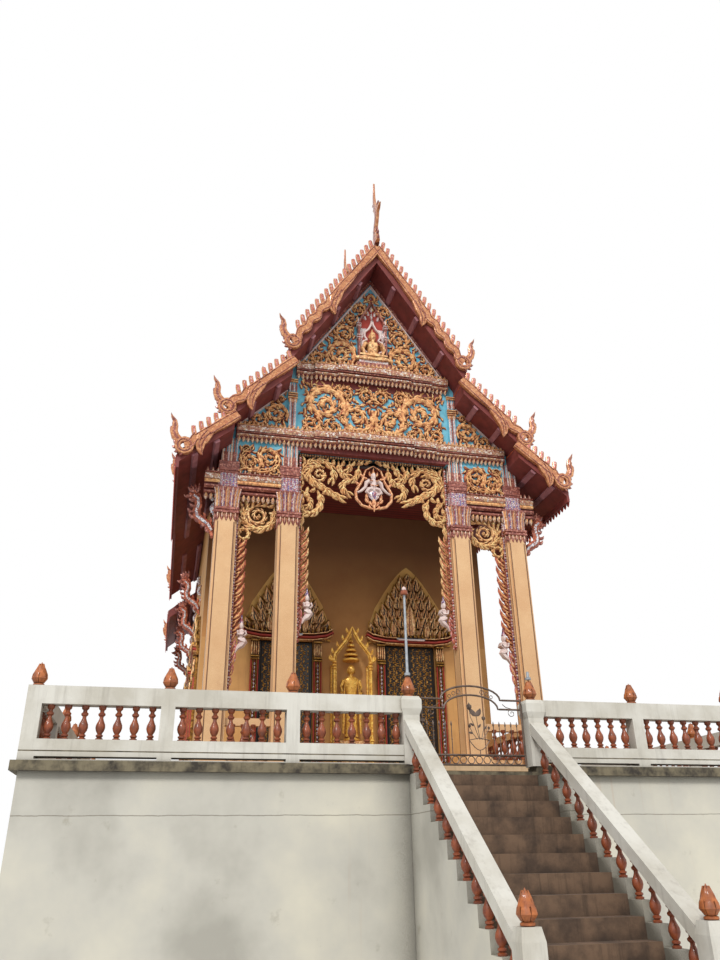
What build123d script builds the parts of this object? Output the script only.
# A Thai ordination hall on its walled terrace, with the stair, balustrade and iron gate in front.
# Millimetres, +Z up from the ground, +Y from the stair towards the back of the hall,
# X = 0 on the common centre line of gate, porch and ridge.
from build123d import *
import os
from math import cos, hypot, pi, sin

os.makedirs("parts", exist_ok=True)

# Clearances
seat_gap = 0.3  # between a piece and what carries it
door_gap = 6.0  # round a door leaf

# Stair
riser = 202.0
tread = 270.0
riser_count = 13
stair_half_width = 846.0
stringer_thickness = 120.0
stringer_lip = 150.0  # stringer above each tread
handrail_width = 200.0
handrail_depth = 170.0
handrail_rise = 655.0  # top of the sloped handrail above the nosing line
newel_width = 230.0
newel_height = 1030.0
newel_cap = 115.0
newel_cap_slope = 23.0

# Terrace
terrace_height = riser * riser_count
bay = 1600.0  # from one balustrade post to the next
front_bays = 3  # on each side of the gate
rear_walk = 3219.0  # terrace behind the hall's rear columns, to the nearest bay
rear_bays = 7
wall_thickness = 250.0
wall_set_back = 30.0
coping_reach = 60.0
coping_depth = 116.0
coping_above_terrace = 71.0

# Balustrade, heights above the terrace
frame_thickness = 200.0
frame_top = 956.0
slot_bottom = 91.0
slot_top = 122.0
opening_bottom = 322.0
opening_top = 736.0
ledge_height = 237.0
ledge_reach = 22.0
post_width = 175.0
balusters_a_bay = 7
baluster_radius = 52.0
baluster_steps = [(0, 0.6), (0.38, 0.95), (0.7, 0.4), (1, 0.7)]  # shares of length and radius
finial_height = 300.0
finial_radius = 92.0
finial_steps = [(0, 0.6), (0.14, 0.85), (0.42, 0.85), (1, 0.05)]

# Gate
gate_post_x = 906.0
gate_post_width = 230.0
gate_cap_width = 285.0
gate_cap_height = 250.0
gate_cap_flare = 83.0
gate_cap_bevel = 50.0
gate_clearance = 20.0
gate_bottom = 90.0
gate_shoulder = 955.0
gate_arch_top = 1142.0
gate_tube = 28.0
gate_bar = 13.0
gate_rail_gap = 125.0  # between the two bottom rails, and between the two top rails
gate_knee = 440.0
gate_knee_shift = 41.0  # lower top rail, inwards
gate_bends = 10
gate_pickets_a_side = 5
gate_picket_head = 610.0
picket_spear = 52.0
gate_ring_count = 12
ring_seat = 3.2  # ring into the rails it is welded to
gate_pin_radius = 16.0
gate_hinge_thickness = 40.0
gate_hinge_height = 640.0

# Lamp standard on the left gate post
lamp_pole_radius = 24.0
lamp_pole_tip = 18.0
lamp_pole_top = 2440.0
lamp_head_radius = 62.0
lamp_stub = 117.0

# Hall plan, measured back from the face of the balustrade
hall_floor = 606.0  # above the terrace
column_front = 4919.0
column_width = 450.0
inner_column_x = 1953.0
outer_column_x = 3279.0
porch_depth = 2942.0
hall_wall = 300.0
hall_middle = 12150.0  # the hall is the same before and behind this line
plinth_reach = 280.0
plinth_foot = 120.0

# Doors
door_x = 1519.0
door_width = 1288.0
door_head = 3703.0
leaf_thickness = 50.0
leaf_set_back = 70.0
pivot_radius = 20.0
pivot_length = 10.0
surround_depth = 70.0

# Windows in the side walls
window_count = 4
window_width = 900.0
window_sill = 1500.0
window_head = 3500.0
window_frame = 180.0
window_ear = 95.0
window_crown = 1150.0
shutter_thickness = 50.0
shutter_gap = 1.5

# Column stack. The middle of the lower ring carries all above it: sizes called rise are measured from there
ring_middle = 5658.0
ring_height = 150.0
ring_width = 520.0
flare_rise = 523.0
flare_foot_width = 400.0
flare_waist_width = 428.0
flare_head_width = 510.0
block_rise = 935.0
block_width = 400.0
upper_ring_rise = 1192.0
upper_ring_width = 430.0
pilaster_width = 320.0
redent = 42.0
column_foot_width = 560.0
column_foot_height = 180.0

# Roof, one entry a tier: x and rise of the eave line, slope, thickness, inner edge
tier_x = [2066.0, 3450.0, 4265.0]
tier_rise = [4042.0, 2132.0, 1082.0]
tier_slope = [1.54, 0.968, 0.825]
tier_thickness = [420.0, 300.0, 280.0]
tier_inner = [0.0, 2040.0, 3260.0]
tier_past_ring = [84.0, 80.0, 135.0]
main_lift = 930.0
roof_front = 4300.0
porch_roof_end = 8400.0
main_roof_front = 7900.0
fascia_thickness = 60.0
fascia_drop = 370.0
gable_thickness = 150.0

# Facade
pediment_set_back = 75.0
pediment_thickness = 200.0
soffit_rise = 1627.0
middle_cornice = [1782.0, 2088.0]  # rise of foot and head
upper_cornice = [3612.0, 3922.0]
lower_cornice = [372.0, 882.0]
lower_cornice_overhang = 282.0  # past the hall's corner
cornice_end_gap = 5.3  # from a cornice's end to the roof over it
cornice_steps = [900.0, 1450.0]
cornice_reach = [280.0, 210.0, 140.0]
cornice_profile = [(0.6, 0), (0.75, 0.25), (0.62, 0.4), (1, 0.62), (1, 1)]  # shares of the reach and height
teeth_height = 140.0
mosaic_pilaster_x = 1934.0
mosaic_pilaster_width = 190.0
mosaic_pilaster_reach = 60.0
ceiling_thickness = 80.0
beam_height = 550.0
screen_thickness = 70.0
screen_foot = -158.0
centre_screen_edge = [  # half width and rise along its scrolled foot, from the pendant outward
    (0, 331.0), (236.0, 481.0), (430.0, 722.0), (330.0, 1042.0), (604.0, 719.0), (764.0, 582.0),
    (1000.0, 822.0), (1330.0, 642.0), (1430.0, 292.0), (1541.0, 104.0), (1610.0, -98.0),
]
strip_foot = 2960.0  # above the terrace
strip_width = 150.0
strip_root = 50.0
strip_tooth = 190.0
strip_swell = 750.0  # height of the figure at the foot
strip_steps = [(0, 0), (0.3, 0.12), (1.25, 0.44), (1.5, 0.8)]  # shares of the width and of that height
side_screen_foot = -178.0
side_screen_edge = [  # distance in from the outer column and rise
    (0, -508.0), (60.0, -538.0), (170.0, -408.0), (200.0, -238.0),
    (330.0, -328.0), (520.0, -368.0), (700.0, -228.0),
]

# Bargeboards, chofa and brackets
barge_thickness = 100.0
barge_half_depth = 115.0
barge_fin_pitch = 250.0
barge_fin_height = 230.0
barge_fin_width = 112.0
barge_fin_lean = 25.0
barge_hook_place = [0.65, 0.82, 0.88]  # share of each tier's length
barge_hook_depth = [320.0, 390.0, 355.0]
barge_hook_width = 345.0
barge_ring_radius = 190.0
barge_ring_hole = 75.0
crest_height = 700.0
crest_steps = [(0.08, 0.14), (0.24, 0.08), (0.41, 0.43), (0.46, 1), (0.3, 0.6), (0.14, 0.33)]
chofa_height = 2150.0
chofa_thickness = 90.0
chofa_steps = [  # shares of its height: inward and up
    (0, 0), (0.1, 0.12), (0.02, 0.3), (-0.04, 0.42), (0.04, 0.6), (0.1, 0.78), (0.05, 1),
    (0.02, 0.78), (-0.06, 0.6), (-0.2, 0.46), (-0.1, 0.36), (-0.05, 0.2), (-0.06, 0),
]
bracket_reach = 620.0
bracket_foot = -628.0
bracket_height = 1250.0
bracket_thickness = 80.0
bracket_steps = [  # shares of the reach and height, from the foot out to the head and back
    (0, 0), (0.16, 0.1), (0.3, 0.3), (0.62, 0.42), (0.86, 0.62), (0.95, 0.84), (0.8, 0.86), (0.66, 0.66),
    (0.4, 0.6), (0.22, 0.62), (0.14, 0.8), (0, 0.86),
]

# Door surrounds, niche and image
crown_half = 1050.0
crown_top = 5480.0
crown_tiers = 6
crown_flame = 0.84  # share of a tier's height to the flame's tip
crown_notch = 0.36
crown_narrowing = 0.86
jamb_width = 196.0
niche_half = 470.0
niche_top = 4000.0
niche_shoulder = 3200.0
niche_depth = 420.0
niche_bar = 70.0
pedestal_half = 320.0
image_height = 1750.0
heads_tall = 8  # the image's height in head lengths
image_levels = [  # level, half width and half depth, in head lengths
    (0, 1.1, 0.8), (0.5, 0.75, 0.55), (3.4, 0.85, 0.55), (5.2, 0.7, 0.5), (6.4, 1.05, 0.5),
    (6.8, 0.4, 0.35), (7.0, 0.36, 0.36), (7.3, 0.5, 0.45), (7.7, 0.42, 0.42), (8, 0.08, 0.08),
]
pedestal_height = 780.0

# Porch rails
rail_top = 1434.0
rail_depth = 139.0
rail_width = 170.0
kerb_height = 130.0
porch_baluster_pitch = 190.0

# Places that follow from the sizes above
top = terrace_height
newel_y = -tread * (riser_count - 1) + newel_width / 4
newel_front = newel_y - newel_width / 2
hall_back = 2 * hall_middle - column_front
depth_bays = round((hall_back + rear_walk - frame_thickness) / bay)
terrace_back = bay * depth_bays + frame_thickness
front_y = -(terrace_back + coping_reach + newel_front) / 2
floor_z = top + hall_floor
corner_x = gate_post_x + bay * front_bays
half_width = corner_x + frame_thickness / 2
hall_half = outer_column_x + column_width / 2
porch_wall = column_front + porch_depth
inside_half = hall_half - hall_wall


def height(z):
    return top + z


def above_ring(z):
    return top + ring_middle + z


def depth(y):
    return front_y + y


def mirrored_depth(y):
    return front_y + 2 * hall_middle - y


def front_plane(y):
    return Plane.XZ.offset(-y)


def block(x, y, z, mode=Mode.ADD):
    with Locations(((x[0] + x[1]) / 2, (y[0] + y[1]) / 2, (z[0] + z[1]) / 2)):
        Box(x[1] - x[0], y[1] - y[0], z[1] - z[0], mode=mode)


def outline(points, mode=Mode.ADD):
    Polygon(*points, align=None, mode=mode)


def both_sides(points):
    return points + [(-x, z) for x, z in reversed(points) if x > 0]


# A stacked or turned shape with flat sides: one outline, cut from several directions.
# Levels are pairs of height and half width
def flat_sided(levels, sides=4):
    right = [(half, level) for level, half in levels]
    whole = right + [(-half, level) for half, level in reversed(right)]
    span = 2 * max(half for half, level in right)
    for k in range(sides // 2):
        with BuildSketch(Plane.XZ.rotated((0, 0, 360 * k / sides))) as face:
            outline(whole)
        extrude(face.sketch, amount=span, both=True, mode=Mode.INTERSECT if k else Mode.ADD)


def save(piece, name):
    piece.part.label = name
    export_step(piece.part, f"parts/{name}.step")


def tier_top(tier, x):
    return above_ring(tier_rise[tier] + tier_slope[tier] * (tier_x[tier] - abs(x)))


def tier_under(tier, x):
    return tier_top(tier, x) - tier_thickness[tier]


def reach_under(tier, level):
    return tier_x[tier] - (level - tier_rise[tier] + tier_thickness[tier]) / tier_slope[tier]


def tier_eave(tier):
    return tier_x[tier] + tier_past_ring[tier]


wall_top = tier_under(2, hall_half) - seat_gap


# Terrace
with BuildPart() as terrace_fill:
    side = half_width - wall_set_back - wall_thickness
    front = depth(wall_set_back + wall_thickness)
    back = depth(terrace_back - wall_set_back - wall_thickness)
    block((-side, side), (front, back), (0, top))
save(terrace_fill, "terrace_fill")

with BuildPart() as retaining_wall:
    outer = half_width - wall_set_back
    y0 = depth(wall_set_back)
    y1 = depth(terrace_back - wall_set_back)
    wall_head = height(coping_above_terrace - coping_depth)
    block((-outer, outer), (y0, y1), (0, wall_head))
    inner = outer - wall_thickness
    block((-inner, inner), (y0 + wall_thickness, y1 - wall_thickness), (0, wall_head), Mode.SUBTRACT)
save(retaining_wall, "retaining_wall")

with BuildPart() as terrace_coping:
    outer = half_width + coping_reach
    inner = half_width - wall_set_back - wall_thickness
    low = height(coping_above_terrace - coping_depth)
    high = height(coping_above_terrace)
    block((-outer, outer), (depth(-coping_reach), depth(terrace_back + coping_reach)), (low, high))
    gap = (depth(wall_set_back + wall_thickness), depth(terrace_back - wall_set_back - wall_thickness))
    block((-inner, inner), gap, (low, high), Mode.SUBTRACT)
    stair_gap = stair_half_width + stringer_thickness
    block((-stair_gap, stair_gap), (depth(-coping_reach), depth(0)), (low, high), Mode.SUBTRACT)
    block((-stair_half_width, stair_half_width), (depth(-coping_reach), gap[0]), (top, high), Mode.SUBTRACT)
save(terrace_coping, "terrace_coping")


# Gate posts, each with a flared cap
gate_y = depth(frame_thickness / 2)
post_face_x = gate_post_x - gate_post_width / 2
cap_face_x = gate_post_x - gate_cap_width / 2

cap_foot = frame_top - gate_cap_height
gate_post_levels = [
    (height(coping_above_terrace), gate_post_width / 2),
    (height(cap_foot), gate_post_width / 2),
    (height(cap_foot + gate_cap_flare), gate_cap_width / 2),
    (height(frame_top - gate_cap_bevel), gate_cap_width / 2),
    (height(frame_top), gate_post_width / 2),
]

with BuildPart() as gate_post_pattern:
    flat_sided(gate_post_levels)

with BuildPart() as gate_posts:
    with Locations([(-gate_post_x, gate_y, 0), (gate_post_x, gate_y, 0)]):
        add(gate_post_pattern.part)
save(gate_posts, "gate_posts")

# One straight run of balustrade, drawn in a vertical plane and given its thickness
def balustrade_run(plane, start, posts, end):
    with BuildSketch(plane) as panel:
        low = height(coping_above_terrace)
        outline([(start, low), (end, low), (end, height(frame_top)), (start, height(frame_top))])
        for first, second in zip(posts, posts[1:]):
            left = first + post_width / 2
            right = second - post_width / 2
            for bottom, head in ((opening_bottom, opening_top), (slot_bottom, slot_top)):
                corners = [(left, bottom), (right, bottom), (right, head), (left, head)]
                outline([(u, height(v)) for u, v in corners], Mode.SUBTRACT)
    extrude(panel.sketch, amount=-frame_thickness)


front_posts = [gate_post_x + bay * k for k in range(front_bays + 1)]
side_posts = [bay * k + frame_thickness / 2 for k in range(depth_bays + 1)]
rear_posts = [-corner_x + 2 * corner_x / rear_bays * k for k in range(rear_bays + 1)]

with BuildPart() as balustrade_front:
    gate_side = gate_post_x
    balustrade_run(front_plane(depth(0)), gate_side, front_posts, half_width)
    mirror(about=Plane.YZ)
    add(gate_posts.part, mode=Mode.SUBTRACT)
save(balustrade_front, "balustrade_front")

with BuildPart() as balustrade_sides:
    balustrade_run(
        Plane.YZ.offset(half_width),
        depth(frame_thickness),
        [depth(y) for y in side_posts],
        depth(terrace_back - frame_thickness),
    )
    mirror(about=Plane.YZ)
save(balustrade_sides, "balustrade_sides")

with BuildPart() as balustrade_rear:
    balustrade_run(front_plane(depth(terrace_back - frame_thickness)), -half_width, rear_posts, half_width)
save(balustrade_rear, "balustrade_rear")


# Turned shapes are kept four-sided
def baluster(length):
    flat_sided([(length * share, baluster_radius * width) for share, width in baluster_steps])


# The gate turns on a round stile, which stands on the lower hinge plate and passes through the upper one
gate_axis_x = -cap_face_x + gate_clearance + gate_pin_radius
gate_end_x = cap_face_x - gate_clearance
gate_foot = height(gate_bottom - gate_tube)

with BuildPart() as gate_hinges:
    plate_x = (-post_face_x, gate_axis_x + 2 * gate_pin_radius)
    plate_y = (gate_y - 2 * gate_pin_radius, gate_y + 2 * gate_pin_radius)
    block(plate_x, plate_y, (gate_foot - seat_gap - gate_hinge_thickness, gate_foot - seat_gap))
    block(plate_x, plate_y, (height(gate_hinge_height), height(gate_hinge_height) + gate_hinge_thickness))
    with Locations((gate_axis_x, gate_y, height(gate_hinge_height) + gate_hinge_thickness / 2)):
        Cylinder(gate_pin_radius + seat_gap, gate_hinge_thickness, mode=Mode.SUBTRACT)
save(gate_hinges, "gate_hinges")


def arched_rail(drop):
    shoulder = height(gate_shoulder - drop)
    arch = gate_arch_top - gate_shoulder
    half = gate_knee - gate_knee_shift * drop / gate_rail_gap
    angles = [pi * k / gate_bends for k in range(1, gate_bends)]
    points = [(gate_axis_x, shoulder), (-half, shoulder)]
    points += [(-half * cos(angle), shoulder + arch * sin(angle)) for angle in angles]
    return points + [(half, shoulder), (gate_end_x, shoulder)]


# Gate leaf: a bent double top rail, a double bottom rail with rings between, and spear-headed pickets
gate_rails = [height(gate_bottom), height(gate_bottom + gate_rail_gap)]
picket_pitch = (gate_end_x - gate_knee / 2) / (gate_pickets_a_side + 1)
ring_pitch = (gate_end_x - gate_axis_x) / (gate_ring_count + 1)
ring_radius = (gate_rail_gap - gate_tube) / 2

with BuildPart() as gate_leaf:
    with BuildSketch(front_plane(gate_y - gate_tube / 2)) as rails:
        for drop in (0, gate_rail_gap):
            with BuildLine() as rail:
                Polyline(*arched_rail(drop))
            trace(rail.line, line_width=gate_tube)
        for level in gate_rails:
            with BuildLine() as rail:
                Line((gate_axis_x, level), (gate_end_x, level))
            trace(rail.line, line_width=gate_tube)
        with BuildLine() as stile:
            Line((gate_end_x, gate_foot), (gate_end_x, height(gate_shoulder)))
        trace(stile.line, line_width=gate_tube)
    extrude(rails.sketch, amount=-gate_tube)
    with BuildSketch(front_plane(gate_y - gate_bar / 2)) as bars:
        for side in (-1, 1):
            for k in range(gate_pickets_a_side):
                x = side * (gate_end_x - picket_pitch * (k + 1))
                head = height(gate_picket_head)
                foot = gate_rails[1]
                stem = [(x + gate_bar / 2, foot), (x + gate_bar / 2, head)]
                spear = [(x + gate_bar, head), (x, head + picket_spear), (x - gate_bar, head)]
                outline(stem + spear + [(x - gate_bar / 2, head), (x - gate_bar / 2, foot)])
        for k in range(gate_ring_count):
            with Locations((gate_axis_x + ring_pitch * (k + 1), (gate_rails[0] + gate_rails[1]) / 2)):
                RegularPolygon(ring_radius + ring_seat, 8)
                RegularPolygon(ring_radius - gate_bar, 8, mode=Mode.SUBTRACT)
    extrude(bars.sketch, amount=-gate_bar)
    with Locations((gate_axis_x, gate_y, (gate_foot + height(gate_shoulder)) / 2)):
        Cylinder(gate_pin_radius, height(gate_shoulder) - gate_foot)
save(gate_leaf, "gate_leaf")

# Stair: a stepped flight between two walls that carry balusters, handrails and newels
stair_top_y = depth(frame_thickness / 2 - gate_post_width / 2)
newel_plan = (depth(newel_front), depth(newel_front) + newel_width)
stair_x = gate_post_x


with BuildPart() as stair_flight:
    with BuildSketch(Plane.YZ.offset(-stair_half_width)) as steps:
        coping_foot = height(coping_above_terrace - coping_depth)
        levels = [(depth(wall_set_back), 0), (depth(wall_set_back), coping_foot), (depth(0), coping_foot)]
        for k in range(1, riser_count):
            levels += [(depth(-tread * (k - 1)), top - riser * k), (depth(-tread * k), top - riser * k)]
        outline(levels + [(depth(-tread * (riser_count - 1)), 0)])
    extrude(steps.sketch, amount=2 * stair_half_width)
    for side in (-1, 1):
        notch = sorted((side * stair_half_width, side * (stair_x - newel_width / 2)))
        block(notch, newel_plan, (0, top), Mode.SUBTRACT)
save(stair_flight, "stair_flight")

with BuildPart() as stair_stringers:
    with BuildSketch(Plane.YZ.offset(stair_half_width)) as steps:
        levels = [(stair_top_y, 0), (stair_top_y, top - riser + stringer_lip)]
        for k in range(1, riser_count - 1):
            level = top - riser * k + stringer_lip
            levels += [(depth(-tread * k), level), (depth(-tread * k), level - riser)]
        levels += [(newel_plan[1], levels[-1][1]), (newel_plan[1], 0)]
        outline(levels)
    extrude(steps.sketch, amount=stringer_thickness)
    mirror(about=Plane.YZ)
save(stair_stringers, "stair_stringers")


def handrail_z(y, lift):
    return top + riser / tread * (y - depth(0)) + lift


with BuildPart() as stair_handrails:
    with BuildSketch(Plane.YZ.offset(stair_x - handrail_width / 2)) as slope:
        ends = (newel_plan[1], stair_top_y)
        low = [(y, handrail_z(y, handrail_rise - handrail_depth)) for y in ends]
        high = [(y, handrail_z(y, handrail_rise)) for y in reversed(ends)]
        outline(low + high)
    extrude(slope.sketch, amount=handrail_width)
    mirror(about=Plane.YZ)
save(stair_handrails, "stair_handrails")

newel_centre = newel_plan[0] + newel_width / 2
with BuildPart() as newel_pattern:
    half = newel_width / 2
    flat_sided([(0, half), (newel_height - newel_cap, half), (newel_height, half - newel_cap_slope)])

with BuildPart() as stair_newels:
    with Locations([(-stair_x, newel_centre, 0), (stair_x, newel_centre, 0)]):
        add(newel_pattern.part)
save(stair_newels, "stair_newels")

# Lotus finials on every post and newel
with BuildPart() as finial_pattern:
    flat_sided([(finial_height * share, finial_radius * width) for share, width in finial_steps])

with BuildPart() as lotus_finials:
    foot = height(frame_top) + seat_gap
    middle = frame_thickness / 2
    posts = [(side * x, middle) for x in front_posts for side in (-1, 1)]
    posts += [(side * corner_x, y) for y in side_posts[1:] for side in (-1, 1)]
    posts += [(x, terrace_back - middle) for x in rear_posts[1:-1]]
    spots = [(x, depth(y), foot) for x, y in posts]
    spots += [(side * stair_x, newel_centre, newel_height + seat_gap) for side in (-1, 1)]
    with Locations(spots):
        add(finial_pattern.part)
save(lotus_finials, "lotus_finials")

# Lamp standard on the left gate post, and the broken stub of its fellow on the right
lamp_foot = height(frame_top + finial_height) + 2 * seat_gap
lamp_levels = [(lamp_foot, lamp_pole_radius), (height(lamp_pole_top), lamp_pole_tip)]
lamp_levels.append((height(lamp_pole_top), lamp_head_radius))
lamp_levels.append((height(lamp_pole_top) + lamp_head_radius, lamp_pole_radius))
with BuildPart() as lamp_pattern:
    flat_sided(lamp_levels, 6)

with BuildPart() as stub_pattern:
    flat_sided([(lamp_foot, lamp_pole_radius), (lamp_foot + lamp_stub, lamp_pole_radius)], 6)

with BuildPart() as lamp_standard:
    with Locations((-gate_post_x, gate_y, 0)):
        add(lamp_pattern.part)
    with Locations((gate_post_x, gate_y, 0)):
        add(stub_pattern.part)
save(lamp_standard, "lamp_standard")

# Hall base: a moulded plinth with the floor on top
with BuildPart() as hall_base:
    reach = [plinth_reach + plinth_foot, plinth_reach - plinth_foot / 2, plinth_reach]
    upper = hall_floor - plinth_foot
    courses = [(0, plinth_foot), (plinth_foot, upper), (upper, hall_floor)]
    for out, (low, high) in zip(reach, courses):
        side = hall_half + out
        y_range = (depth(column_front - out), mirrored_depth(column_front - out))
        block((-side, side), y_range, (height(low), height(high)))
save(hall_base, "hall_base")

# Walls. The front wall is split beside and over its two doorways
wall_front = depth(porch_wall)
wall_back = wall_front + hall_wall
door_edges = (door_x - door_width / 2, door_x + door_width / 2)
door_head_z = height(door_head)

with BuildPart() as front_wall_piers:
    inner, outer = door_edges
    for x_range in ((-hall_half, -outer), (-inner, inner), (outer, hall_half)):
        block(x_range, (wall_front, wall_back), (floor_z, door_head_z))
save(front_wall_piers, "front_wall_piers")

with BuildPart() as front_wall_upper:
    block((-hall_half, hall_half), (wall_front, wall_back), (door_head_z, wall_top))
save(front_wall_upper, "front_wall_upper")

rear_face = mirrored_depth(column_front)
raised_front = depth(porch_roof_end)
raised_back = mirrored_depth(porch_roof_end)
window_pitch = (rear_face - hall_wall - wall_back) / window_count
window_y = [wall_back + window_pitch * (k + 0.5) for k in range(window_count)]

with BuildPart() as side_walls:
    with BuildSketch(Plane.YZ.offset(inside_half)) as elevation:
        high = wall_top + main_lift
        back = rear_face - hall_wall
        outline([
            (wall_back, floor_z), (back, floor_z), (back, wall_top), (raised_back, wall_top),
            (raised_back, high), (raised_front, high), (raised_front, wall_top), (wall_back, wall_top),
        ])
        for y in window_y:
            with Locations((y, height(window_sill + window_head) / 2 + top / 2)):
                Rectangle(window_width, window_head - window_sill, mode=Mode.SUBTRACT)
    extrude(elevation.sketch, amount=hall_wall)
    mirror(about=Plane.YZ)
save(side_walls, "side_walls")

with BuildPart() as rear_wall:
    block((-hall_half, hall_half), (rear_face - hall_wall, rear_face), (floor_z, wall_top))
save(rear_wall, "rear_wall")

with BuildPart() as window_shutters:
    for y in window_y:
        for side in (-1, 1):
            y_range = sorted((y + side * shutter_gap, y + side * (window_width / 2 - shutter_gap)))
            x_range = (hall_half - leaf_set_back - shutter_thickness, hall_half - leaf_set_back)
            z_range = (height(window_sill) + seat_gap, height(window_head) - seat_gap)
            block(x_range, y_range, z_range)
    mirror(about=Plane.YZ)
save(window_shutters, "window_shutters")

# Door leaves: the hinge stile is eight-sided about the pivot line, with a pivot at its foot and head
leaf_y = wall_front + leaf_set_back + leaf_thickness / 2
leaf_width = (door_width - 3 * door_gap) / 2
leaf_foot = floor_z + pivot_length
leaf_head = door_head_z - pivot_length


def door_leaf(edge_x, side):
    pivot_x = edge_x + side * (door_gap + leaf_thickness / 2)
    far_x = edge_x + side * (door_gap + leaf_width)
    with BuildSketch(Plane.XY.offset(leaf_foot)) as plan:
        with Locations(((pivot_x + far_x) / 2, leaf_y)):
            Rectangle(abs(far_x - pivot_x), leaf_thickness)
        with Locations((pivot_x, leaf_y)):
            RegularPolygon(leaf_thickness / 2, 8, major_radius=False, rotation=22.5)
    extrude(plan.sketch, amount=leaf_head - leaf_foot)
    for level in (floor_z + seat_gap, door_head_z - pivot_length):
        with BuildSketch(Plane.XY.offset(level)) as pivot:
            with Locations((pivot_x, leaf_y)):
                RegularPolygon(pivot_radius, 8)
        extrude(pivot.sketch, amount=pivot_length - seat_gap)


for side_name, side in (("left", -1), ("right", 1)):
    outer_edge = side * door_edges[1]
    inner_edge = side * door_edges[0]
    with BuildPart() as outer_leaf:
        door_leaf(outer_edge, -side)
    save(outer_leaf, f"{side_name}_door_outer_leaf")
    with BuildPart() as inner_leaf:
        door_leaf(inner_edge, side)
    save(inner_leaf, f"{side_name}_door_inner_leaf")

# Porch columns: redented square shafts on chamfered feet
column_y = depth(column_front + column_width / 2)
column_spots = [-outer_column_x, -inner_column_x, inner_column_x, outer_column_x]
shaft_top = height(ring_middle - ring_height / 2)

with BuildPart() as column_pattern:
    foot = floor_z + column_foot_height
    foot_half = column_foot_width / 2
    flat_sided([(floor_z, foot_half), (foot - redent, foot_half), (foot, column_width / 2)])
    with BuildSketch(Plane.XY.offset(floor_z)) as plan:
        Rectangle(column_width, column_width)
        with GridLocations(column_width - redent, column_width - redent, 2, 2):
            Rectangle(redent, redent, mode=Mode.SUBTRACT)
    extrude(plan.sketch, amount=shaft_top - floor_z)

with BuildPart() as porch_columns:
    with Locations([(x, column_y, 0) for x in column_spots]):
        add(column_pattern.part)
save(porch_columns, "porch_columns")

# Capitals: a double ring, a flare, the mosaic block, a second double ring and the upper pilaster
groove = ring_height / 8
capital_levels = [
    (shaft_top, column_width),
    (shaft_top + groove, ring_width),
    (height(ring_middle) - groove, ring_width),
    (height(ring_middle), ring_width - 2 * groove),
    (height(ring_middle) + groove, ring_width),
    (shaft_top + ring_height - groove, ring_width),
    (shaft_top + ring_height, flare_foot_width),
    (above_ring(flare_rise) - ring_height, flare_waist_width),
    (above_ring(flare_rise), flare_head_width),
    (above_ring(flare_rise) + groove, block_width),
    (above_ring(block_rise), block_width),
    (above_ring(block_rise) + groove, upper_ring_width),
    (above_ring(upper_ring_rise) - groove, upper_ring_width),
    (above_ring(upper_ring_rise), pilaster_width),
    (wall_top, pilaster_width),
]

with BuildPart() as capital_pattern:
    flat_sided([(level, width / 2) for level, width in capital_levels])

with BuildPart() as column_capitals:
    with Locations([(x, column_y, 0) for x in column_spots]):
        add(capital_pattern.part)
save(column_capitals, "column_capitals")

# Beams from the outer columns back to the front wall
with BuildPart() as porch_beams:
    beam_x = (outer_column_x - pilaster_width / 2, outer_column_x + pilaster_width / 2)
    block(beam_x, (column_y, wall_front), (wall_top - beam_height, wall_top))
    mirror(about=Plane.YZ)
    add(column_capitals.part, mode=Mode.SUBTRACT)
save(porch_beams, "porch_beams")

# Gable outline under the roof, from the apex down one side
def gable_side(lift, end_x, foot_z):
    points = [(0, tier_under(0, 0))]
    for tier in (0, 1):
        edge = tier_inner[tier + 1] - seat_gap
        points += [(edge, tier_under(tier, edge)), (edge, tier_under(tier + 1, edge))]
    points.append((end_x, tier_under(2, end_x)))
    points = [(x, z + lift - 2 * seat_gap) for x, z in points]
    return points + [(end_x, foot_z)]


pediment_y = depth(column_front + pediment_set_back)
pediment_half = hall_half - pediment_set_back
ceiling_top = wall_top + seat_gap + ceiling_thickness
bay_half = inner_column_x - pilaster_width / 2


def pediment(y):
    with BuildSketch(front_plane(y)) as panel:
        side = gable_side(0, pediment_half, wall_top + seat_gap)
        side += [(bay_half, wall_top + seat_gap), (bay_half, above_ring(soffit_rise))]
        outline(both_sides(side))
    extrude(panel.sketch, amount=-pediment_thickness)


with BuildPart() as front_pediment:
    pediment(pediment_y)
    low = above_ring(middle_cornice[1])
    high = above_ring(upper_cornice[0] - teeth_height)
    half = mosaic_pilaster_width / 2
    for x in (-mosaic_pilaster_x, mosaic_pilaster_x):
        block((x - half, x + half), (pediment_y - mosaic_pilaster_reach, pediment_y), (low, high))
save(front_pediment, "front_pediment")

with BuildPart() as rear_gables:
    pediment(mirrored_depth(column_front + pediment_set_back) - pediment_thickness)
    for y in (raised_front, raised_back - gable_thickness):
        with BuildSketch(front_plane(y)) as panel:
            outline(both_sides(gable_side(main_lift, inside_half, ceiling_top + seat_gap)))
        extrude(panel.sketch, amount=-gable_thickness)
save(rear_gables, "rear_gables")

with BuildPart() as ceiling:
    y0 = pediment_y + pediment_thickness
    y1 = mirrored_depth(column_front + pediment_set_back) - pediment_thickness
    side = hall_half - 2 * pediment_set_back
    block((-side, side), (y0, y1), (wall_top + seat_gap, ceiling_top))
    for x in ((inside_half, side), (-side, -inside_half)):
        block(x, (raised_front, raised_back), (wall_top + seat_gap, ceiling_top), Mode.SUBTRACT)
save(ceiling, "ceiling")


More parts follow.
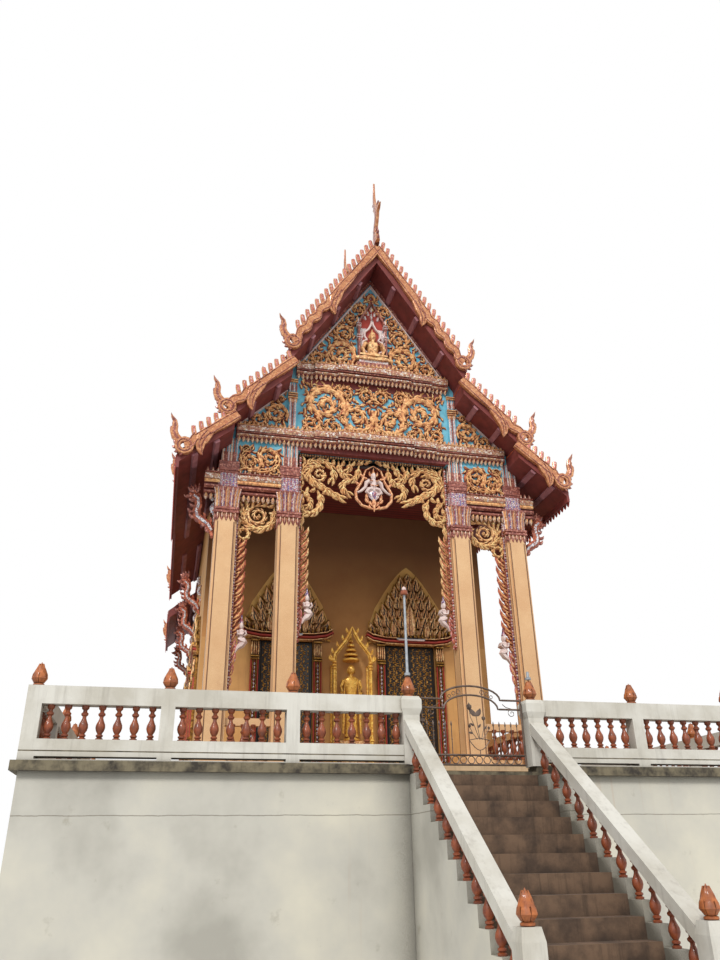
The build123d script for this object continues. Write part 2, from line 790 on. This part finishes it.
# Roof: each section has a ridge tier and two lower tiers a side, with boards between the tiers
def roof_section(y0, y1, lift):
    run = y0 - y1
    with BuildSketch(front_plane(y0)) as upper:
        eave = tier_eave(0)
        half = [(0, tier_top(0, 0)), (eave, tier_top(0, eave))]
        half += [(eave, tier_under(0, eave)), (0, tier_under(0, 0))]
        outline([(x, z + lift) for x, z in both_sides(half)])
    extrude(upper.sketch, amount=run)
    for tier in (1, 2):
        inner, eave = tier_inner[tier], tier_eave(tier)
        leg = inner + fascia_thickness
        points = [(inner, tier_under(tier, inner)), (inner, tier_under(tier - 1, inner) - seat_gap)]
        points += [(leg, tier_under(tier - 1, leg) - seat_gap), (leg, tier_top(tier, leg))]
        points.append((eave, tier_top(tier, eave)))
        if tier == 2:
            points.append((eave, tier_top(tier, eave) - fascia_drop))
            points.append((eave - fascia_thickness, tier_top(tier, eave) - fascia_drop))
            points.append((eave - fascia_thickness, tier_under(tier, eave - fascia_thickness)))
        else:
            points.append((eave, tier_under(tier, eave)))
        for side in (-1, 1):
            with BuildSketch(front_plane(y0)) as slope:
                outline([(side * x, z + lift) for x, z in points])
            extrude(slope.sketch, amount=run)


with BuildPart() as porch_roof:
    roof_section(depth(roof_front), raised_front - seat_gap, 0)
save(porch_roof, "porch_roof")

with BuildPart() as main_roof:
    roof_section(depth(main_roof_front), mirrored_depth(main_roof_front), main_lift)
save(main_roof, "main_roof")

with BuildPart() as rear_roof:
    roof_section(raised_back + seat_gap, mirrored_depth(roof_front), 0)
save(rear_roof, "rear_roof")


# Cornices: a moulding that steps forward towards the centre, with a row of teeth below
def cornice(y, half, band, steps, reaches):
    low, high = [above_ring(z) for z in band]
    for edge, reach in zip([half] + steps[::-1], reaches[::-1]):
        profile = [(y, low)] + [(y - reach * out, low + (high - low) * rise) for out, rise in cornice_profile]
        profile.append((y, high))
        with BuildSketch(Plane.YZ.offset(-edge)) as section:
            outline(profile)
        extrude(section.sketch, amount=2 * edge)


side_reach = cornice_reach[2] + screen_thickness
panel_face = column_y + screen_thickness / 2
with BuildPart() as cornices:
    cornice(panel_face, hall_half + lower_cornice_overhang, lower_cornice, [], [side_reach])
    clear_x = (-inner_column_x, inner_column_x)
    block(clear_x, (column_y - column_width, column_y + column_width), (0, wall_top), Mode.SUBTRACT)
    add(column_capitals.part, mode=Mode.SUBTRACT)
    for tier, band in ((1, middle_cornice), (0, upper_cornice)):
        half = reach_under(tier, band[1]) - cornice_end_gap
        cornice(pediment_y, half, band, cornice_steps, cornice_reach)
save(cornices, "cornices")

with BuildPart() as side_panels:
    for side in (-1, 1):
        panel_x = sorted((side * inner_column_x, side * outer_column_x))
        panel_y = (panel_face, panel_face + screen_thickness)
        block(panel_x, panel_y, (above_ring(lower_cornice[0]), wall_top))
    add(column_capitals.part, mode=Mode.SUBTRACT)
save(side_panels, "side_panels")

# Carved screens under the cornices: the centre one hangs between the inner columns with its pendant
screen_y = column_y - screen_thickness / 2
opening_half = inner_column_x - column_width / 2 - seat_gap

with BuildPart() as centre_arch_screen:
    with BuildSketch(front_plane(screen_y)) as arch:
        edge = centre_screen_edge + [(opening_half, screen_foot), (opening_half, soffit_rise)]
        outline([(x, above_ring(z)) for x, z in both_sides(edge)])
    extrude(arch.sketch, amount=-screen_thickness)
    add(column_capitals.part, mode=Mode.SUBTRACT)
save(centre_arch_screen, "centre_arch_screen")

with BuildPart() as side_arch_screens:
    with BuildSketch(front_plane(screen_y)) as arch:
        near = inner_column_x + column_width / 2 + seat_gap
        far = outer_column_x - column_width / 2 - seat_gap
        edge = [(near, lower_cornice[0]), (far, lower_cornice[0])]
        edge += [(far - inward, level) for inward, level in side_screen_edge]
        outline([(x, above_ring(z)) for x, z in edge + [(near, side_screen_foot)]])
    extrude(arch.sketch, amount=-screen_thickness)
    mirror(about=Plane.YZ)
    add(column_capitals.part, mode=Mode.SUBTRACT)
save(side_arch_screens, "side_arch_screens")


# Flame strips down the inner faces of the columns, each with a foot that swells and ends in a point
def flame_strip(face_x, side, head):
    foot = height(strip_foot)
    points = [(strip_width * u, foot + strip_swell * v) for u, v in strip_steps]
    start = foot + strip_swell
    teeth = round((head - start) / strip_tooth)
    pitch = (head - start) / teeth
    for k in range(teeth):
        points.append((strip_root, start + pitch * k))
        points.append((strip_width, start + pitch * (k + 1) - strip_root))
    points += [(strip_root, head), (0, head)]
    with BuildSketch(front_plane(screen_y)) as leaf:
        outline([(face_x + side * x, z) for x, z in points])
    extrude(leaf.sketch, amount=-screen_thickness)


with BuildPart() as flame_strips:
    flame_strip(opening_half, -1, above_ring(screen_foot) - seat_gap)
    side_foot = min(level for inward, level in side_screen_edge)
    flame_strip(outer_column_x - column_width / 2 - seat_gap, -1, above_ring(side_foot) - seat_gap)
    mirror(about=Plane.YZ)
save(flame_strips, "flame_strips")

# Brackets from columns and walls out to the eaves
def bracket(face_x, y):
    foot = above_ring(bracket_foot)
    with BuildSketch(front_plane(y - bracket_thickness / 2)) as shape:
        outline([(face_x + bracket_reach * u, foot + bracket_height * v) for u, v in bracket_steps])
    extrude(shape.sketch, amount=-bracket_thickness)


between_windows = [wall_back + window_pitch * k for k in range(1, window_count)]
bracket_ys = [column_y] + between_windows + [rear_face - hall_wall / 2]
with BuildPart() as naga_brackets:
    for y in bracket_ys:
        bracket(hall_half + seat_gap, y)
    mirror(about=Plane.YZ)
    add(column_capitals.part, mode=Mode.SUBTRACT)
    add(cornices.part, mode=Mode.SUBTRACT)
save(naga_brackets, "naga_brackets")


# Door surrounds: pilasters, a bowed lintel band and a crown of flame tiers
def crown(centre, half, foot, head, tiers):
    points = [(half, foot)]
    step = (head - foot) / tiers
    for k in range(tiers):
        points.append((half * (1 - k / tiers), foot + step * (k + crown_flame)))
        points.append((half * (1 - crown_narrowing * (k + 1) / tiers), foot + step * (k + crown_notch)))
    points.append((0, head))
    return [(centre + x, z) for x, z in both_sides(points)]


with BuildPart() as door_surrounds:
    for side in (-1, 1):
        centre = side * door_x
        for edge in (-1, 1):
            inner = centre + edge * (door_width / 2 + seat_gap)
            jamb_x = sorted((inner, inner + edge * jamb_width))
            jamb_back = wall_front - seat_gap
            block(jamb_x, (jamb_back - surround_depth, jamb_back), (floor_z, door_head_z))
        with BuildSketch(front_plane(wall_front - surround_depth - seat_gap)) as head:
            outline(crown(centre, crown_half, door_head_z, height(crown_top), crown_tiers))
        extrude(head.sketch, amount=-surround_depth)
save(door_surrounds, "door_surrounds")

with BuildPart() as window_surrounds:
    for y in window_y:
        with BuildSketch(Plane.YZ.offset(hall_half + seat_gap)) as frame:
            half = window_width / 2
            outer = half + window_frame
            low, high = height(window_sill), height(window_head)
            sill = low - window_frame
            outline([(y - outer, sill), (y + outer, sill), (y + outer, high), (y - outer, high)])
            outline(crown(y, outer + window_ear, high, high + window_crown, crown_tiers - 2))
            outline([(y - half, low), (y + half, low), (y + half, high), (y - half, high)], Mode.SUBTRACT)
        extrude(frame.sketch, amount=surround_depth)
    mirror(about=Plane.YZ)
save(window_surrounds, "window_surrounds")

# Niche frame between the doors, with a standing image on a pedestal under it
niche_y = wall_front - seat_gap
with BuildPart() as niche:
    with BuildSketch(front_plane(niche_y - niche_depth)) as frame:
        head = height(niche_top)
        shoulder = height(niche_shoulder)
        bend = (shoulder + head) / 2 - niche_bar
        outer = [(niche_half, floor_z), (niche_half, shoulder), (niche_half - 2 * niche_bar, bend), (0, head)]
        inner = [(niche_half - niche_bar, floor_z), (niche_half - niche_bar, shoulder)]
        inner += [(niche_half - 3 * niche_bar, bend - niche_bar), (0, head - 3 * niche_bar)]
        outline(both_sides(outer))
        outline(both_sides(inner), Mode.SUBTRACT)
    extrude(frame.sketch, amount=-niche_bar)
    pedestal_y = (niche_y - niche_depth, niche_y)
    block((-pedestal_half, pedestal_half), pedestal_y, (floor_z, floor_z + pedestal_height))
save(niche, "niche")

with BuildPart() as buddha_image:
    foot = floor_z + pedestal_height + seat_gap
    head = image_height / heads_tall
    front = [(across * head, foot + level * head) for level, across, deep in image_levels]
    flank = [(deep * head, foot + level * head) for level, across, deep in image_levels]
    middle = niche_y - niche_depth / 2
    with BuildSketch(front_plane(middle)) as face:
        outline(front + [(-u, z) for u, z in reversed(front)])
    extrude(face.sketch, amount=niche_depth / 2, both=True)
    with BuildSketch(Plane.YZ) as face:
        outline([(middle + u, z) for u, z in flank] + [(middle - u, z) for u, z in reversed(flank)])
    extrude(face.sketch, amount=niche_half, both=True, mode=Mode.INTERSECT)
save(buddha_image, "buddha_image")

# Low rails on kerbs between the outer and inner columns and back to the front wall
bay_x = (inner_column_x + column_width / 2, outer_column_x - column_width / 2)
flank_y = (column_y + column_width / 2, wall_front)
with BuildPart() as porch_rails:
    for low, high in ((floor_z, floor_z + kerb_height), (height(rail_top - rail_depth), height(rail_top))):
        block(bay_x, (column_y - rail_width / 2, column_y + rail_width / 2), (low, high))
        block((outer_column_x - rail_width / 2, outer_column_x + rail_width / 2), flank_y, (low, high))
    mirror(about=Plane.YZ)
    with Locations([(x, column_y, floor_z + column_foot_height / 2) for x in column_spots]):
        Box(column_foot_width, column_foot_width, column_foot_height, mode=Mode.SUBTRACT)
save(porch_rails, "porch_rails")

# Turned balusters in the terrace balustrade, up the stair and in the porch rails
baluster_pitch = (bay - post_width) / balusters_a_bay
with BuildPart() as terrace_pattern:
    baluster(opening_top - opening_bottom - 2 * seat_gap)

with BuildPart() as stair_pattern:
    reach = baluster_radius * riser / tread
    rail_under = handrail_rise - handrail_depth - reach - riser / 2
    baluster(rail_under + riser - stringer_lip - 2 * seat_gap)

with BuildPart() as porch_pattern:
    baluster(rail_top - rail_depth - hall_floor - kerb_height - 2 * seat_gap)

with BuildPart() as balusters:
    first = post_width / 2 + baluster_pitch / 2
    across = [post + first + baluster_pitch * k for post in front_posts[:-1] for k in range(balusters_a_bay)]
    foot = height(opening_bottom) + seat_gap
    with Locations([(side * x, gate_y, foot) for x in across for side in (-1, 1)]):
        add(terrace_pattern.part)
    steps = range(1, riser_count - 1)
    spots = [(depth(-tread * (k - 0.5)), top - riser * k + stringer_lip + seat_gap) for k in steps]
    with Locations([(side * stair_x, y, z) for y, z in spots for side in (-1, 1)]):
        add(stair_pattern.part)
    foot_reach = (column_foot_width - column_width) / 2
    across = bay_x[1] - bay_x[0] - 2 * foot_reach
    along = flank_y[1] - flank_y[0] - foot_reach
    bay_count = int(across // porch_baluster_pitch)
    flank_count = int(along // porch_baluster_pitch)
    start_x, start_y = bay_x[0] + foot_reach, flank_y[0] + foot_reach
    spots = [(start_x + across * (k + 0.5) / bay_count, column_y) for k in range(bay_count)]
    spots += [(outer_column_x, start_y + along * (k + 0.5) / flank_count) for k in range(flank_count)]
    with Locations([(side * x, y, floor_z + kerb_height + seat_gap) for x, y in spots for side in (-1, 1)]):
        add(porch_pattern.part)
save(balusters, "balusters")


# Bargeboards on the gable ends: a board along each tier with fins above and a ringed tail
def barge_line(tier):
    start = 0 if tier == 0 else tier_inner[tier] - fascia_thickness
    return (start, tier_top(tier, start)), (tier_x[tier], tier_top(tier, tier_x[tier]))


def barge_board(y, lift, tier, side):
    (x0, z0), (x1, z1) = barge_line(tier)
    run = hypot(x1 - x0, z1 - z0)
    along = ((x1 - x0) / run, (z1 - z0) / run)
    above = (-along[1], along[0])
    deep = barge_half_depth
    mitre = deep * tier_slope[0] if tier == 0 else 0
    hook = barge_hook_place[tier] * run
    points = [(mitre, -deep), (hook - barge_hook_width, -deep), (hook, -barge_hook_depth[tier])]
    points.append((hook + deep, -deep))
    points += [(run, -deep), (run, deep)]
    fins = int((run - barge_ring_radius) // barge_fin_pitch)
    for k in range(fins, 0, -1):
        u = barge_fin_pitch * k
        tip = (u - barge_fin_lean, deep + barge_fin_height)
        points += [(u, deep), tip, (u - barge_fin_width, deep)]
    points.append((-mitre, deep))
    placed = [(x0 + along[0] * u + above[0] * v, z0 + along[1] * u + above[1] * v) for u, v in points]
    with BuildSketch(front_plane(y)) as board:
        outline([(side * x, z + lift) for x, z in placed])
        centre = (side * x1, z1 + lift)
        with Locations(centre):
            RegularPolygon(barge_ring_radius, 10)
            RegularPolygon(barge_ring_hole, 6, mode=Mode.SUBTRACT)
        crest = [(centre[0] + side * crest_height * u, centre[1] + crest_height * v) for u, v in crest_steps]
        outline(crest)
    extrude(board.sketch, amount=-barge_thickness)


def gable_end(y, lift):
    for tier in range(3):
        for side in (-1, 1):
            barge_board(y, lift, tier, side)


with BuildPart() as front_bargeboards:
    gable_end(depth(roof_front) - seat_gap - barge_thickness, 0)
save(front_bargeboards, "front_bargeboards")

with BuildPart() as rear_bargeboards:
    gable_end(depth(main_roof_front) - seat_gap - barge_thickness, main_lift)
    gable_end(mirrored_depth(main_roof_front) + seat_gap, main_lift)
    gable_end(mirrored_depth(roof_front) + seat_gap, 0)
save(rear_bargeboards, "rear_bargeboards")


# Chofa: a slender horn on each gable peak, bent out over the gable and up to a point
def chofa(y, out, lift):
    foot = tier_top(0, 0) + lift + barge_half_depth * hypot(1, tier_slope[0]) + seat_gap
    with BuildSketch(Plane.YZ.offset(-chofa_thickness / 2)) as horn:
        outline([(y + out * chofa_height * u, foot + chofa_height * v) for u, v in chofa_steps])
    extrude(horn.sketch, amount=chofa_thickness)


with BuildPart() as chofas:
    half_board = barge_thickness / 2
    chofa(depth(roof_front) - half_board, 1, 0)
    chofa(depth(main_roof_front) - half_board, 1, main_lift)
    chofa(mirrored_depth(main_roof_front) + half_board, -1, main_lift)
    chofa(mirrored_depth(roof_front) + half_board, -1, 0)
save(chofas, "chofas")
